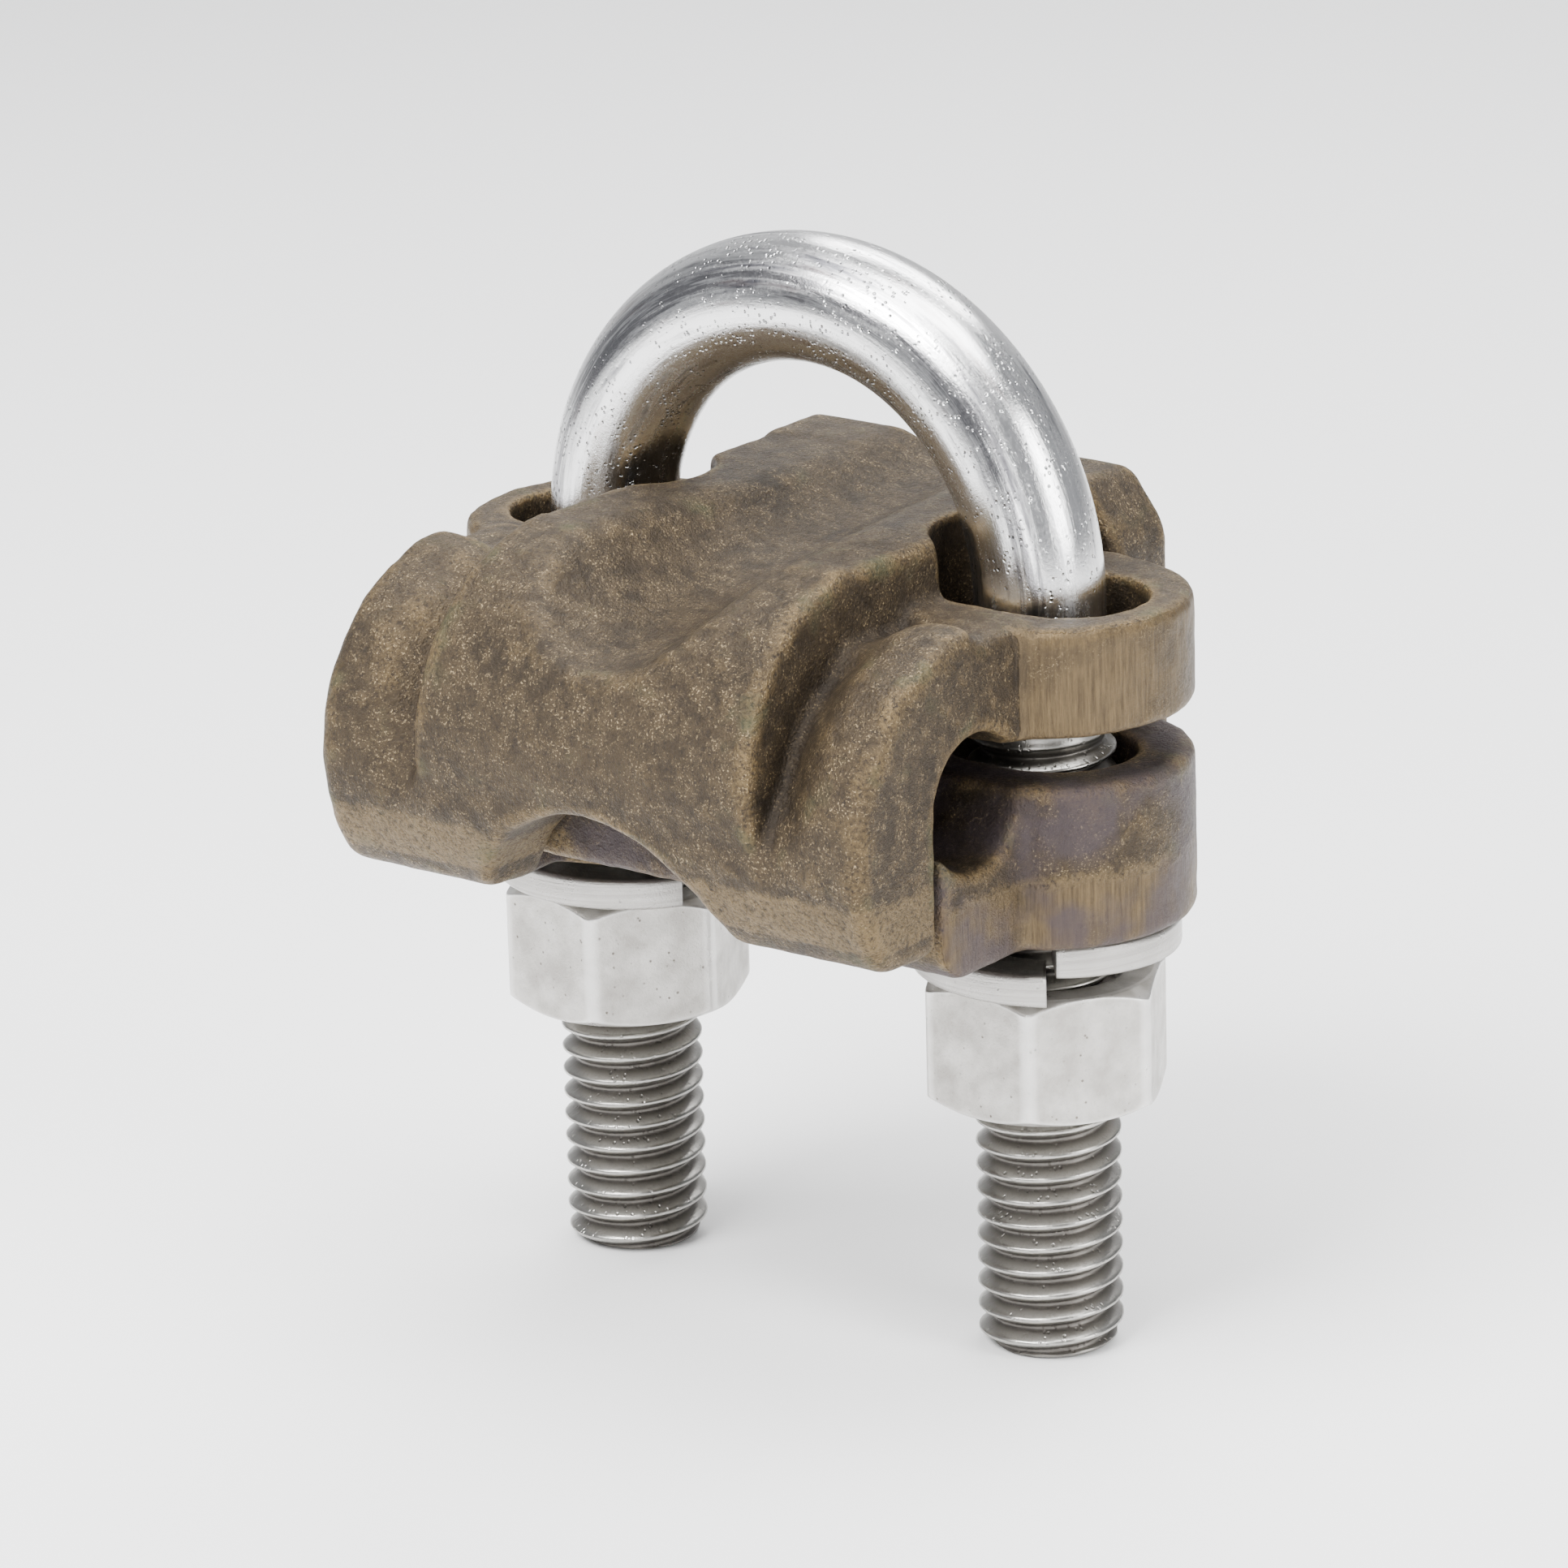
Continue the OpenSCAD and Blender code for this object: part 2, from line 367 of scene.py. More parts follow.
def soft_max(a, b, k):
    return -soft_min(-a, -b, k)


nut_flats = 14.29
chamfer = math.radians(30)


def build_nut(name, side, turn_deg):
    low, high = box_mm(name)
    z0, z1 = low[2], high[2]
    n = 288
    ring = np.linspace(0, 2 * math.pi, n, endpoint=False)
    to_face = (np.degrees(ring) - turn_deg) % 60 - 30
    hexagon = nut_flats / 2 / np.cos(np.radians(to_face))
    corner = nut_flats / 2 / math.cos(chamfer)
    hexagon = soft_min(hexagon, np.full(n, corner - 0.10), 0.16)
    face_r = nut_flats / 2 - 0.15
    rings, rim = [], []

    def add(r, z, edge=0.0):
        x, y = side * half + r * np.cos(ring), r * np.sin(ring)
        rings.append(np.stack([x, y, np.full(n, z)], 1))
        rim.append(np.full(n, edge) if np.isscalar(edge) else edge)

    def outside(z):
        d = min(z - z0, z1 - z)
        cone = face_r + d / math.tan(chamfer)
        r = soft_min(hexagon, np.full(n, cone), 0.10)
        edge = np.exp(-np.abs(hexagon - cone) / 0.25)
        edge = edge + 0.9 * fade(hexagon, corner - 0.45, corner - 0.12)
        return r, np.clip(edge, 0, 1)

    bore_face = thread_r + 0.55
    for r in np.linspace(bore_face, face_r - 0.25, 7):
        add(r, z0)
    for inset, lift in ((0.10, 0.012), (0.03, 0.05)):
        add(face_r - inset, z0 + lift, 0.7)
    tall = z1 - z0
    levels = np.concatenate([np.linspace(0.07, 1.1, 18), np.linspace(1.1, tall - 1.1, 12)[1:-1],
                             tall - np.linspace(1.1, 0.07, 18)])
    for d in levels:
        r, edge = outside(z0 + d)
        add(r, z0 + d, edge)
    for inset, lift in ((0.03, 0.05), (0.10, 0.012)):
        add(face_r - inset, z1 - lift, 0.7)
    for r in np.linspace(face_r - 0.25, bore_face, 7):
        add(r, z1)
    for z in np.arange(z1 - 0.03, z0 + 0.03, -pitch / 18):
        wave = thread_wave(z, ring, phases[side])
        r = root_r + 0.10 + (thread_r - root_r) * wave
        mouth = bore_face - min(z - z0, z1 - z) * 0.9
        add(np.maximum(r, mouth), z, 0.2)
    rings = np.array(rings)
    obj = mesh_object(name + "_skin", rings.reshape(-1, 3),
                      ring_faces(len(rings), n, close_rings=True))
    store(obj, "edge", np.array(rim).ravel())
    print(f"{name}: volume {outward(obj):.0f} mm3")
    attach(obj, name)
    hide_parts(name)
    return obj


nuts = [build_nut("nut_left", -1, -9), build_nut("nut_right", 1, -3)]

# %% [markdown]
# ## Split lock washers
# A rounded band swept along one turn of a shallow helix. The two cut ends stand
# one offset apart, with the higher end to the right of the cut.

# %% Build a lock washer
washer_band, washer_outer = 2.1, 8.64
gap_deg = 2.2       # half the open cut


def build_washer(name, side, split_deg):
    low, high = box_mm(name)
    band, z0, z1 = washer_band, low[2], high[2]
    rise = (z1 - z0) - band
    inner, outer = thread_r + 0.34, washer_outer
    section = []
    corner = 0.38
    for cx, cz, start in ((outer - corner, band - corner, 0), (inner + corner, band - corner, 90),
                          (inner + corner, corner, 180), (outer - corner, corner, 270)):
        for a in np.radians(start + np.linspace(0, 90, 5)):
            section.append((cx + corner * math.cos(a), cz + corner * math.sin(a)))
    section = np.array(section)
    m = len(section)
    turns = np.linspace(gap_deg, 360 - gap_deg, 190)
    rings = []
    for t in turns:
        a = math.radians(split_deg + t)
        climb = (1 - (t - gap_deg) / (360 - 2 * gap_deg)) * rise
        r, z = section[:, 0], section[:, 1] + z0 + climb
        rings.append(np.stack([side * half + r * math.cos(a), r * math.sin(a), z], 1))
    rings = np.array(rings)
    verts = rings.reshape(-1, 3)
    faces = ring_faces(len(rings), m).tolist()
    caps = []
    for base, order in ((0, 1), (len(verts) - m, -1)):
        middle = len(verts) + len(caps)
        caps.append(verts[base:base + m].mean(0))
        for j in range(0, m):
            pair = (base + j, base + (j + 1) % m)
            faces.append([middle, pair[0], pair[1], middle] if order < 0
                         else [middle, pair[1], pair[0], middle])
    verts = np.concatenate([verts, np.array(caps)])
    quads = [f for f in faces if f[0] != f[3]]
    tris = [f[:3] for f in faces if f[0] == f[3]]
    mesh = bpy.data.meshes.new(name + "_skin")
    mesh.from_pydata((verts * MM).tolist(), [], quads + tris)
    mesh.polygons.foreach_set("use_smooth", [True] * len(quads) + [False] * len(tris))
    obj = bpy.data.objects.new(name + "_skin", mesh)
    bpy.context.collection.objects.link(obj)
    radius = np.hypot(verts[:, 0] - side * half, verts[:, 1])
    store(obj, "edge", fade(radius, outer - 0.5, outer - 0.05))
    angle = np.arctan2(verts[:, 1], verts[:, 0] - side * half)
    store(obj, "spin", np.stack([radius, angle, verts[:, 2]], 1), "FLOAT_VECTOR")
    print(f"{name}: volume {outward(obj):.0f} mm3")
    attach(obj, name)
    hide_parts(name)
    return obj


washers = [build_washer("washer_left", -1, -24), build_washer("washer_right", 1, -52)]

# %% [markdown]
# ## Castings as fields
# Sand castings have no sharp inside corners, so they are described as a distance
# field: rounded pieces melt together with `soft_min` and cuts are taken out with
# `soft_max`. Where the field is zero lies the skin, and openvdb meshes it.

# %% Field helpers
def disc(u, v, cu, cv, r):
    return np.hypot(u - cu, v - cv) - r


def slab(u, low, high):
    return np.maximum(low - u, u - high)


def box2(u, v, u0, u1, v0, v1, r=0.0):
    du = np.abs(u - (u0 + u1) / 2) - (u1 - u0) / 2 + r
    dv = np.abs(v - (v0 + v1) / 2) - (v1 - v0) / 2 + r
    return np.hypot(np.maximum(du, 0), np.maximum(dv, 0)) + np.minimum(np.maximum(du, dv), 0) - r


def box3(X, Y, Z, low, high, r):
    q = [np.abs(c - (a + b) / 2) - (b - a) / 2 + r for c, a, b in zip((X, Y, Z), low, high)]
    out = np.sqrt(sum(np.maximum(v, 0) ** 2 for v in q))
    return out + np.minimum(np.maximum(np.maximum(q[0], q[1]), q[2]), 0) - r


def lumps(X, Y, Z, size, seed):
    """Slow random swell, as a moulded sand face leaves it."""
    rng = np.random.default_rng(seed)
    total = np.zeros_like(X)
    for _ in range(14):
        k = rng.normal(size=3) * 2 * math.pi / size / 1.7
        total += np.sin(k[0] * X + k[1] * Y + k[2] * Z + rng.uniform(0, 6.28)).astype(np.float32)
    return total / 5


def blur(field, reach):
    for axis in range(3):
        total = field.copy()
        for s in range(1, reach + 1):
            total += np.roll(field, s, axis) + np.roll(field, -s, axis)
        field = total / (2 * reach + 1)
    return field


def sample(field, points, low, step):
    i = np.clip(((points - low) / step), 0, np.array(field.shape) - 1.001)
    b = i.astype(int)
    f = i - b
    out = 0
    for dx in (0, 1):
        for dy in (0, 1):
            for dz in (0, 1):
                w = (np.where(dx, f[:, 0], 1 - f[:, 0]) * np.where(dy, f[:, 1], 1 - f[:, 1])
                     * np.where(dz, f[:, 2], 1 - f[:, 2]))
                out = out + w * field[b[:, 0] + dx, b[:, 1] + dy, b[:, 2] + dz]
    return out


def cast(name, field, low, high, step, seed):
    low, high = np.array(low) - 1.0, np.array(high) + 1.0
    axes = [np.arange(a, b + step, step, dtype=np.float32) for a, b in zip(low, high)]
    X, Y, Z = np.meshgrid(*axes, indexing="ij")
    d = field(X, Y, Z).astype(np.float32)
    skin = d + 0.030 * lumps(X, Y, Z, 2.6, seed) + 0.016 * lumps(X, Y, Z, 1.1, seed + 1)
    grid = openvdb.FloatGrid(3.0)
    grid.copyFromArray(np.clip(skin, -3, 3))
    points, quads = grid.convertToQuads(0.0)
    points = points * step + low
    obj = mesh_object(name + "_skin", points, quads)
    convex = sample(blur(np.clip(d, -3, 3), max(1, int(0.7 / step))), points, low, step)
    store(obj, "edge", np.clip(convex / 0.16, -1, 1))
    print(f"{name}: {len(points)} points, volume {outward(obj):.0f} mm3")
    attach(obj, name)
    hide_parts(name)
    return obj, points


# %% [markdown]
# ### The saddle
# A deck with two lugs, a hook that curves down in front, a taller middle with the
# rod valley, and a heel at the back.

# %% Describe the saddle
hook_out, heel_out = saddle_lo[1], saddle_hi[1]
hook_bot, ridge_z = saddle_lo[2], saddle_hi[2]
hook_in = cable_y - cable_r
lug_top = ridge_z - 3.6
hole_r = thread_r + 0.34       # the slots clear the thread by this much
lobe_z, lobe_r = cable_z - 1.0, lug_top + 2.0 - cable_z
lobe_y = hook_out + lobe_r + 0.3
mass_r = lobe_r + 0.2
mass_y, mass_z = hook_out + mass_r, ridge_z - mass_r
heel_in = lug_r + 1.0
heel_bot = cable_z - 0.3 - 4.2
valley_r = 6.5
step_mm = 0.22


def leg_slot(X, Y, reach):
    return np.hypot(np.maximum(np.abs(np.abs(X) - half) - reach, 0), Y) - hole_r


def saddle_field(X, Y, Z):
    ax = np.abs(X)
    # deck and lugs
    plan = soft_min(np.hypot(ax - half, Y) - lug_r, box2(ax, Y, -half, half, -6.5, lug_r, 1), 1.5)
    deck = soft_max(plan, slab(Z, lug_bot, lug_top), 0.9)
    # end lobes, with a trough where they meet the middle
    trough = 2.8 * np.exp(-(np.maximum(ax - (half - 3.7), 0) / 2.9) ** 2) * fade(Z, 36.0, 42.5)
    round_front = soft_max(disc(Y, Z, lobe_y, lobe_z, lobe_r) + trough, hook_bot - Z, 1.0)
    round_front = np.maximum(round_front, Y - lobe_y)
    neck = box2(Y, Z + 0.45 * trough, lobe_y - 2, -6.5, lug_bot, lug_top + 0.35, 0.8)
    lobes = soft_max(soft_min(round_front, neck, 2.2), ax - end_x, 1.3)
    body = soft_min(deck, lobes, 0.7)
    # taller middle
    tall = soft_max(disc(Y, Z, mass_y, mass_z, mass_r), hook_bot - Z, 1.0)
    tall = np.maximum(tall, Y - mass_y)
    back = box2(Y, Z, mass_y - 2, heel_out, lug_bot, ridge_z, 1.2)
    side = ax - (half - 4.2) + 0.07 * (Z - lug_top)
    body = soft_min(body, soft_max(soft_min(tall, back, 0.6), side, 1.0), 0.9)
    # rear heel
    heel_x = half - 1.5
    heel = box3(X, Y, Z, (-heel_x, heel_in, heel_bot), (heel_x, heel_out, ridge_z - 0.1), 0.9)
    heel = soft_max(heel, (ax - heel_x + 0.75 * (Z - lug_top)) * 0.8, 0.9)
    body = soft_min(body, heel, 0.8)
    # rod valley, shallow at the back and spooned out towards the front
    run = np.clip((heel_out - Y) / (heel_out - hook_out), 0, 1)
    floor_z = ridge_z - 1.7 - 4.7 * run ** 1.5
    bowl = ax * ax / (2 * valley_r)
    flank = np.where(ax < valley_r, bowl, ax - valley_r / 2)
    steep = np.sqrt(1 + np.minimum(ax / valley_r, 1) ** 2)
    body = soft_max(body, (Z - floor_z - flank) / steep, 0.9)
    # cable channel and the open space under the deck
    channel = np.minimum(disc(Y, Z, cable_y, cable_z, cable_r),
                         np.minimum(box2(Y, Z, hook_in, heel_in, hook_bot - 9, cable_z),
                                    box2(Y, Z, cable_y, heel_in, hook_bot - 9, lug_bot)))
    body = soft_max(body, -channel, 0.6)
    # leg slots
    body = soft_max(body, -leg_slot(X, Y, 2.2), 0.4)
    # arch in the skirt
    rise, wide = 7.1, half - 7.3
    arch_r = (wide * wide + rise * rise) / (2 * rise)
    arch = np.maximum(disc(X, Z, 0, hook_bot + rise - arch_r, arch_r), Y - hook_in - 2)
    return soft_max(body, -arch, 0.8)


saddle, saddle_pts = cast("saddle", saddle_field, saddle_lo, saddle_hi, step_mm, 11)

# %% [markdown]
# ### The keeper
# Two lugs joined by a bar, with the cable scoop in front, a bearing rib behind
# and a hollow underneath between the washer seats.

# %% Describe the keeper
keep_bot, keep_top = keeper_lo[2], cable_z - 0.3
keep_front = hook_in + 0.6


def keeper_field(X, Y, Z):
    ax = np.abs(X)
    plan = np.hypot(ax - half, Y) - lug_r
    plan = soft_min(plan, box2(ax, Y, -end_x, end_x, keep_front, -2, 0.6), 0.7)
    plan = soft_min(plan, box2(ax, Y, -half, half, -6, lug_r, 1), 0.8)
    body = soft_max(plan, slab(Z, keep_bot, keep_top), 0.9)
    reach = half - hole_r - 2.8
    rib = box3(X, Y, Z, (-reach, lug_r - 4, keep_top - 2), (reach, lug_r, lug_bot), 0.5)
    body = soft_min(body, rib, 0.8)
    body = soft_max(body, -disc(Y, Z, cable_y, cable_z, cable_r), 0.7)
    body = soft_max(body, -leg_slot(X, Y, 1.2), 0.4)
    wide = half - 9.15 + 6 * fade(-Y, 8.0, 10.5)
    body = soft_max(body, np.minimum(wide - ax, keep_bot + 3 - Z) * 0.8, 0.8)
    bevel = ((keep_front + 1.7 - Y) + (keep_bot - Z)) / math.sqrt(2)
    return soft_max(body, bevel, 0.6)


keeper, keeper_pts = cast("keeper", keeper_field, keeper_lo, keeper_hi, step_mm, 31)

# %% [markdown]
# ## Masks for the castings
# The lug rims were dressed on a belt, the saddle's ends only lightly and the
# keeper only low down, so those faces are marked.

# %% Mark the dressed faces
def dressed(obj, points, end_amount, only_low):
    ax = np.abs(points[:, 0])
    rim = np.abs(np.hypot(ax - half, points[:, 1]) - lug_r)
    on_rim = fade(0.35 - rim, 0, 0.2) * (points[:, 1] < 8.5) * (ax > end_x - 1.0)
    on_end = fade(ax, end_x - 0.4, end_x - 0.15) * (points[:, 1] < -3)
    low = points[:, 2].min()
    ground = np.maximum(on_rim, on_end * end_amount)
    if only_low:
        ground = ground * fade(low + 6.5 - points[:, 2], 0, 4.0)
    store(obj, "ground", np.clip(ground, 0, 1))
    rub = fade(low + 7.0 - points[:, 2], 0, 3.5) * fade(points[:, 2] - low, 1.2, 2.4)
    store(obj, "rub", rub * fade(ax, 5.0, 9.0))


dressed(saddle, saddle_pts, 0.35, False)
dressed(keeper, keeper_pts, 1.0, True)
print("castings marked")

# %% [markdown]
# ## Shared shading helpers
# `Wire` makes short work of wiring nodes: each call adds one node, sets its
# inputs by name and returns its output.

# %% Node helpers
class Wire:
    def __init__(self, tree):
        self.tree = tree
        self.count = 0

    def add(self, kind, out=0, props=None, **inputs):
        n = self.tree.nodes.new(kind)
        n.location = (self.count % 8 * 190, -(self.count // 8) * 260)
        self.count += 1
        for key, value in (props or {}).items():
            setattr(n, key, value)
        for key, value in inputs.items():
            name = key.replace("_", " ")
            by_number = key[0] == "i" and key[1:].isdigit()
            sock = n.inputs[int(key[1:])] if by_number else n.inputs[name]
            if isinstance(value, bpy.types.NodeSocket):
                self.tree.links.new(value, sock)
            else:
                sock.default_value = value
        return n.outputs[out]

    def math(self, op, a, b=0.0):
        return self.add("ShaderNodeMath", props={"operation": op}, i0=a, i1=b)

    def mix(self, t, a, b):
        n = self.tree.nodes.new("ShaderNodeMix")
        n.data_type = "RGBA"
        for sock, value in ((n.inputs[0], t), (n.inputs[6], a), (n.inputs[7], b)):
            if isinstance(value, bpy.types.NodeSocket):
                self.tree.links.new(value, sock)
            else:
                sock.default_value = value if not isinstance(value, tuple) else (*value, 1)
        return n.outputs[2]

    def ramp(self, value, low, high, out_low=0.0, out_high=1.0):
        return self.add("ShaderNodeMapRange", i0=value, i1=low, i2=high, i3=out_low, i4=out_high)

    def noise(self, vector, scale, detail=3.0, rough=0.55):
        return self.add("ShaderNodeTexNoise", Vector=vector, Scale=scale, Detail=detail,
                        Roughness=rough)


def new_group(name, ins, outs):
    tree = bpy.data.node_groups.new(name, "ShaderNodeTree")
    for label, kind, value in ins:
        sock = tree.interface.new_socket(label, in_out="INPUT", socket_type=kind)
        if value is not None:
            sock.default_value = value
    for label, kind in outs:
        tree.interface.new_socket(label, in_out="OUTPUT", socket_type=kind)
    return tree, Wire(tree), tree.nodes.new("NodeGroupInput"), tree.nodes.new("NodeGroupOutput")


FLOAT, VECTOR, COLOR = "NodeSocketFloat", "NodeSocketVector", "NodeSocketColor"


def new_material(name):
    mat = bpy.data.materials.new(name)
    mat.use_nodes = True
    tree = mat.node_tree
    shader = tree.nodes["Principled BSDF"]
    return mat, tree, shader, Wire(tree)


# %% [markdown]
# ### Group: cast bronze skin
# Brown oxide with slow mottling, fine sandy grain with painted glints (small bright
# dots standing in for sparkle of light), brass showing on worn edges, painted shade in
# the crevices, and a belt-ground finish with a torn edge where `Ground` is high.

# %% Build the cast skin group
def cast_group():
    tree, w, gi, go = new_group("cast_skin", [
        ("Position", VECTOR, None), ("Edge", FLOAT, 0.0), ("Ground", FLOAT, 0.0),
        ("Rub", FLOAT, 0.0), ("Wear", FLOAT, 0.5)],
        [("Color", COLOR), ("Roughness", FLOAT), ("Metallic", FLOAT), ("Height", FLOAT)])
    pos, edge, ground = (gi.outputs[k] for k in ("Position", "Edge", "Ground"))
    rub, wear = gi.outputs["Rub"], gi.outputs["Wear"]
    slow = w.noise(pos, 0.16, 4, 0.6)
    mid = w.noise(pos, 0.75, 5, 0.65)
    grain = w.noise(pos, 3.4, 4, 0.75)
    fine = w.noise(pos, 7.0, 2, 0.6)
    base = w.mix(w.ramp(slow, 0.35, 0.65), (0.023, 0.0155, 0.0078), (0.045, 0.0305, 0.0155))
    base = w.mix(w.ramp(mid, 0.42, 0.70), base, (0.064, 0.044, 0.0225))
    dark = w.math("MULTIPLY", w.ramp(grain, 0.52, 0.34), 0.85)
    base = w.mix(dark, base, (0.018, 0.0125, 0.008))
    # painted glints: small bright golden dots stand in for light sparkling on the sand grain
    painted_glint = w.math("MULTIPLY", w.ramp(fine, 0.58, 0.68), w.ramp(mid, 0.40, 0.62))
    base = w.mix(w.math("MULTIPLY", painted_glint, 0.60), base, (0.50, 0.38, 0.215))
    # brass on the edges
    bare = w.math("MULTIPLY", w.ramp(edge, 0.18, 0.85), w.ramp(grain, 0.36, 0.62))
    bare = w.math("MULTIPLY", bare, wear)
    base = w.mix(bare, base, (0.215, 0.147, 0.066))
    # a broad golden rub with a ragged edge
    ragged = w.math("ADD", w.math("MULTIPLY", rub, 0.75), w.math("MULTIPLY", mid, 0.5))
    rubbed = w.math("MULTIPLY", w.ramp(ragged, 0.62, 0.78), w.ramp(grain, 0.34, 0.56))
    base = w.mix(w.math("MULTIPLY", rubbed, 0.75), base, (0.150, 0.104, 0.048))
    # green tint where oxide gathers
    green = w.math("MULTIPLY", w.ramp(w.noise(pos, 0.32, 3), 0.56, 0.70), w.ramp(edge, 0.05, 0.4))
    base = w.mix(w.math("MULTIPLY", green, 0.45), base, (0.050, 0.060, 0.028))
    # belt marks run up and down the dressed faces
    run = w.add("ShaderNodeVectorMath", props={"operation": "MULTIPLY"},
                i0=pos, i1=(5.0, 5.0, 0.35))
    lines = w.noise(run, 1.0, 4, 0.7)
    belt = w.mix(w.ramp(lines, 0.34, 0.66), (0.054, 0.036, 0.0175), (0.125, 0.086, 0.041))
    torn = w.math("ADD", ground, w.math("MULTIPLY", w.math("SUBTRACT", mid, 0.5), 1.2))
    patch = w.math("MULTIPLY", w.ramp(torn, 0.42, 0.62),
                   w.ramp(w.noise(pos, 0.22, 3), 0.34, 0.56, 0.45, 1.0))
    base = w.mix(patch, base, belt)
    # painted shade: concave crevices are darkened where shadow falls in them
    hollow = w.ramp(edge, 0.0, -0.8)
    base = w.mix(w.math("MULTIPLY", hollow, 0.6), base, (0.012, 0.008, 0.005))
    rough = w.ramp(grain, 0.3, 0.7, 0.56, 0.40)
    rough = w.math("SUBTRACT", rough, w.math("MULTIPLY", bare, 0.08))
    height = w.math("ADD", w.math("MULTIPLY", grain, 0.60), w.math("MULTIPLY", fine, 0.30))
    height = w.math("ADD", height, w.math("MULTIPLY", mid, 0.5))
    smooth = w.math("SUBTRACT", 1.0, w.math("MULTIPLY", patch, 0.75))
    height = w.math("MULTIPLY", height, smooth)
    height = w.math("ADD", height, w.math("MULTIPLY", w.math("MULTIPLY", lines, patch), 0.35))
    for label, value in (("Color", base), ("Roughness", rough), ("Height", height)):
        tree.links.new(value, go.inputs[label])
    tree.links.new(w.ramp(bare, 0, 1, 0.62, 0.85), go.inputs["Metallic"])
    return tree


cast_skin = cast_group()


def bronze(name, wear, heat):
    mat, tree, shader, w = new_material(name)
    where = w.add("ShaderNodeTexCoord", out=3)
    pos = w.add("ShaderNodeVectorMath", props={"operation": "SCALE"}, i0=where, Scale=1000.0)
    edge = w.add("ShaderNodeAttribute", out=2, props={"attribute_name": "edge"})
    ground = w.add("ShaderNodeAttribute", out=2, props={"attribute_name": "ground"})
    rub = w.add("ShaderNodeAttribute", out=2, props={"attribute_name": "rub"})
    g = tree.nodes.new("ShaderNodeGroup")
    g.node_tree = cast_skin
    for label, value in (("Position", pos), ("Edge", edge), ("Ground", ground), ("Rub", rub)):
        tree.links.new(value, g.inputs[label])
    g.inputs["Wear"].default_value = wear
    color = g.outputs["Color"]
    if heat:
        tint = w.math("MULTIPLY", w.ramp(w.noise(pos, 0.20, 3), 0.40, 0.58), heat)
        color = w.mix(tint, color, (0.050, 0.038, 0.042))
    tree.links.new(color, shader.inputs["Base Color"])
    tree.links.new(g.outputs["Roughness"], shader.inputs["Roughness"])
    tree.links.new(g.outputs["Metallic"], shader.inputs["Metallic"])
    bump = w.add("ShaderNodeBump", Strength=0.9, Distance=0.00028, Height=g.outputs["Height"])
    tree.links.new(bump, shader.inputs["Normal"])
    return mat


saddle.data.materials.append(bronze("bronze_saddle", 0.75, 0.0))
keeper.data.materials.append(bronze("bronze_keeper", 0.75, 0.75))
print("bronze ready")

# %% [markdown]
# ### Group: scuffed steel
# A matte blasted grey with dark specks; edges are rubbed brighter.

# %% Build the steel group
def steel_group():
    tree, w, gi, go = new_group("scuffed_steel", [
        ("Position", VECTOR, None), ("Edge", FLOAT, 0.0), ("Specks", FLOAT, 0.5)],
        [("Color", COLOR), ("Roughness", FLOAT), ("Height", FLOAT)])
    pos, edge, specks = (gi.outputs[k] for k in ("Position", "Edge", "Specks"))
    slow = w.noise(pos, 0.5, 5, 0.6)
    grain = w.noise(pos, 6.5, 3, 0.7)
    base = w.mix(w.ramp(slow, 0.35, 0.68), (0.38, 0.362, 0.335), (0.545, 0.53, 0.50))
    base = w.mix(w.math("MULTIPLY", w.ramp(grain, 0.42, 0.26), 0.5), base, (0.26, 0.24, 0.215))
    cells = w.add("ShaderNodeTexVoronoi", Vector=pos, Scale=1.5)
    dot = w.math("MULTIPLY", w.ramp(cells, 0.17, 0.08), w.ramp(w.noise(pos, 1.1, 2), 0.46, 0.58))
    base = w.mix(w.math("MULTIPLY", dot, specks), base, (0.10, 0.08, 0.06))
    base = w.mix(w.math("MULTIPLY", w.ramp(edge, 0.2, 1.0), 0.6), base, (0.80, 0.79, 0.77))
    rough = w.ramp(slow, 0.3, 0.7, 0.46, 0.34)
    rough = w.math("SUBTRACT", rough, w.math("MULTIPLY", edge, 0.10))
    height = w.math("ADD", grain, w.math("MULTIPLY", dot, -0.8))
    for label, value in (("Color", base), ("Roughness", rough), ("Height", height)):
        tree.links.new(value, go.inputs[label])
    return tree


steel = steel_group()


def steel_material(name, specks, metallic, bump_size, brushed=False):
    mat, tree, shader, w = new_material(name)
    where = w.add("ShaderNodeTexCoord", out=3)
    pos = w.add("ShaderNodeVectorMath", props={"operation": "SCALE"}, i0=where, Scale=1000.0)
    edge = w.add("ShaderNodeAttribute", out=2, props={"attribute_name": "edge"})
    g = tree.nodes.new("ShaderNodeGroup")
    g.node_tree = steel
    tree.links.new(pos, g.inputs["Position"])
    tree.links.new(edge, g.inputs["Edge"])
    g.inputs["Specks"].default_value = specks
    height = g.outputs["Height"]
    color = g.outputs["Color"]
    if brushed:
        spin = w.add("ShaderNodeAttribute", out=1, props={"attribute_name": "spin"})
        run = w.add("ShaderNodeVectorMath", props={"operation": "MULTIPLY"},
                    i0=spin, i1=(6.0, 0.5, 6.0))
        lines = w.noise(run, 1.0, 4, 0.7)
        height = w.math("ADD", height, w.math("MULTIPLY", lines, 0.7))
        color = w.mix(0.60, color, (0.28, 0.265, 0.245))
        dull = w.math("MULTIPLY", w.ramp(lines, 0.55, 0.30), 0.45)
        color = w.mix(dull, color, (0.20, 0.185, 0.165))
    tree.links.new(color, shader.inputs["Base Color"])
    tree.links.new(g.outputs["Roughness"], shader.inputs["Roughness"])
    shader.inputs["Metallic"].default_value = metallic
    bump = w.add("ShaderNodeBump", Strength=0.5, Distance=bump_size, Height=height)
    tree.links.new(bump, shader.inputs["Normal"])
    return mat


nut_steel = steel_material("nut_steel", 0.8, 0.80, 0.00006)
washer_steel = steel_material("washer_steel", 0.5, 0.90, 0.00008, brushed=True)
for o in nuts:
    o.data.materials.append(nut_steel)
for o in washers:
    o.data.materials.append(washer_steel)
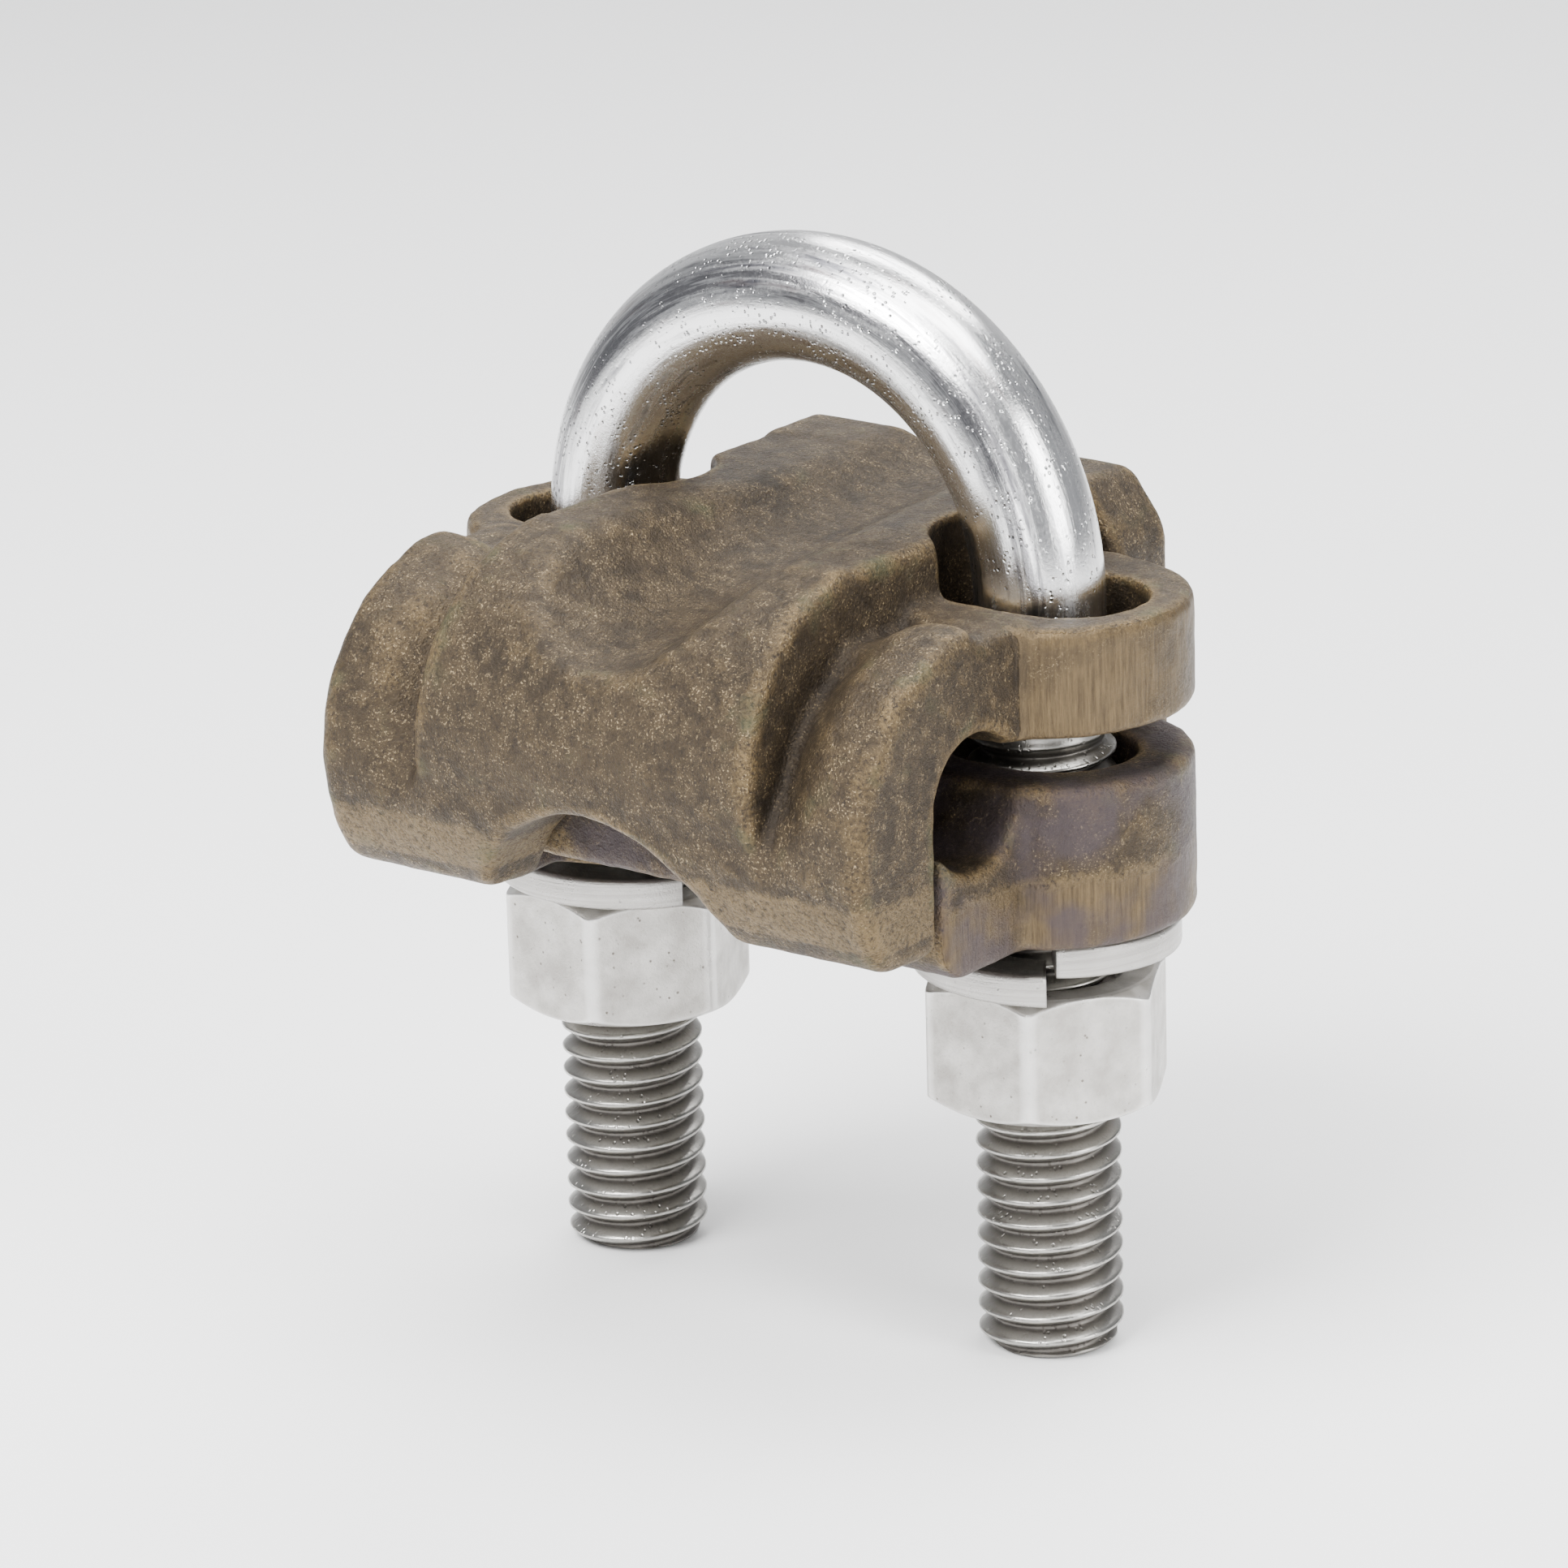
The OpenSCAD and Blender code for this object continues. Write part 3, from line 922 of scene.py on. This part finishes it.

# %% [markdown]
# ### Plated rod
# Bright plating with dark smears drawn along the rod, small pits, and a duller
# grey on the rolled thread, with painted shade making it darkest in its roots.

# %% Shade the U-bolt
def rod_material():
    mat, tree, shader, w = new_material("plated_rod")
    flow = w.add("ShaderNodeAttribute", out=1, props={"attribute_name": "flow"})
    crest = w.add("ShaderNodeAttribute", out=2, props={"attribute_name": "crest"})
    plain = w.add("ShaderNodeAttribute", out=2, props={"attribute_name": "plain"})
    long = w.add("ShaderNodeVectorMath", props={"operation": "MULTIPLY"},
                 i0=flow, i1=(0.55, 0.55, 0.07))
    smear = w.noise(long, 1.0, 6, 0.62)
    streak = w.noise(w.add("ShaderNodeVectorMath", props={"operation": "MULTIPLY"}, i0=flow,
                           i1=(2.6, 2.6, 0.16)), 1.0, 5, 0.65)
    fine = w.noise(flow, 5.0, 4, 0.7)
    base = w.mix(w.ramp(smear, 0.56, 0.66), (0.86, 0.86, 0.86), (0.20, 0.20, 0.22))
    parts = tree.nodes.new("ShaderNodeSeparateXYZ")
    tree.links.new(flow, parts.inputs[0])
    around = w.math("ARCTAN2", parts.outputs[1], parts.outputs[0])
    wander = w.math("MULTIPLY", w.math("SUBTRACT", w.noise(long, 1.6, 5, 0.7), 0.5), 1.5)
    off_band = w.math("ABSOLUTE", w.math("ADD", w.math("ADD", around, 1.05), wander))
    band = w.math("MULTIPLY", w.ramp(off_band, 0.30, 0.12), w.ramp(streak, 0.38, 0.52))
    base = w.mix(w.math("MULTIPLY", band, 0.7), base, (0.085, 0.080, 0.095))
    base = w.mix(w.math("MULTIPLY", w.ramp(streak, 0.55, 0.68), 0.40), base, (0.22, 0.215, 0.225))
    warm = w.math("MULTIPLY", w.ramp(w.noise(long, 2.3, 3), 0.60, 0.72), 0.35)
    base = w.mix(warm, base, (0.30, 0.22, 0.20))
    limb = w.math("MULTIPLY", w.ramp(parts.outputs[2], 66.0, 50.0), w.ramp(streak, 0.36, 0.54))
    base = w.mix(w.math("MULTIPLY", limb, 0.75), base, (0.15, 0.143, 0.138))
    cells = w.add("ShaderNodeTexVoronoi", Vector=flow, Scale=2.6)
    pitted = w.ramp(w.noise(flow, 0.45, 4), 0.46, 0.56)
    pits = w.math("MULTIPLY", w.ramp(cells, 0.30, 0.16), pitted)
    base = w.mix(w.math("MULTIPLY", pits, 0.7), base, (0.10, 0.10, 0.10))
    # painted shade: the thread is darkened towards its roots and lighter on its crests
    grey = w.mix(w.ramp(crest, 0.10, 0.9), (0.14, 0.130, 0.118), (0.40, 0.39, 0.365))
    grey = w.mix(w.math("MULTIPLY", w.ramp(fine, 0.5, 0.32), 0.4), grey, (0.20, 0.19, 0.175))
    base = w.mix(plain, grey, base)
    rough = w.math("ADD", w.ramp(fine, 0.35, 0.65, 0.14, 0.24),
                   w.math("MULTIPLY", w.ramp(smear, 0.5, 0.6), 0.12))
    dull = w.ramp(crest, 0.0, 1.0, 0.45, 0.28)
    rough = w.add("ShaderNodeMix", i0=plain, i2=dull, i3=rough)
    tree.links.new(base, shader.inputs["Base Color"])
    tree.links.new(rough, shader.inputs["Roughness"])
    shader.inputs["Metallic"].default_value = 1.0
    height = w.math("ADD", w.math("MULTIPLY", pits, -1.0), w.math("MULTIPLY", fine, 0.25))
    height = w.math("ADD", height, w.math("MULTIPLY", streak, 0.35))
    bump = w.add("ShaderNodeBump", Strength=0.5, Distance=0.00010, Height=height)
    tree.links.new(bump, shader.inputs["Normal"])
    return mat


u_bolt.data.materials.append(rod_material())

# %% [markdown]
# The floor is a plain, nearly white matte card.

# %% Shade the floor
def floor_material():
    mat, tree, shader, w = new_material("pale_card")
    where = w.add("ShaderNodeTexCoord", out=3)
    tone = w.noise(where, 6.0, 2, 0.5)
    card = w.mix(tone, (0.86, 0.86, 0.86), (0.90, 0.90, 0.90))
    tree.links.new(card, shader.inputs["Base Color"])
    shader.inputs["Roughness"].default_value = 0.9
    return mat


floor.data.materials.append(floor_material())
print("materials:", [m.name for m in bpy.data.materials])
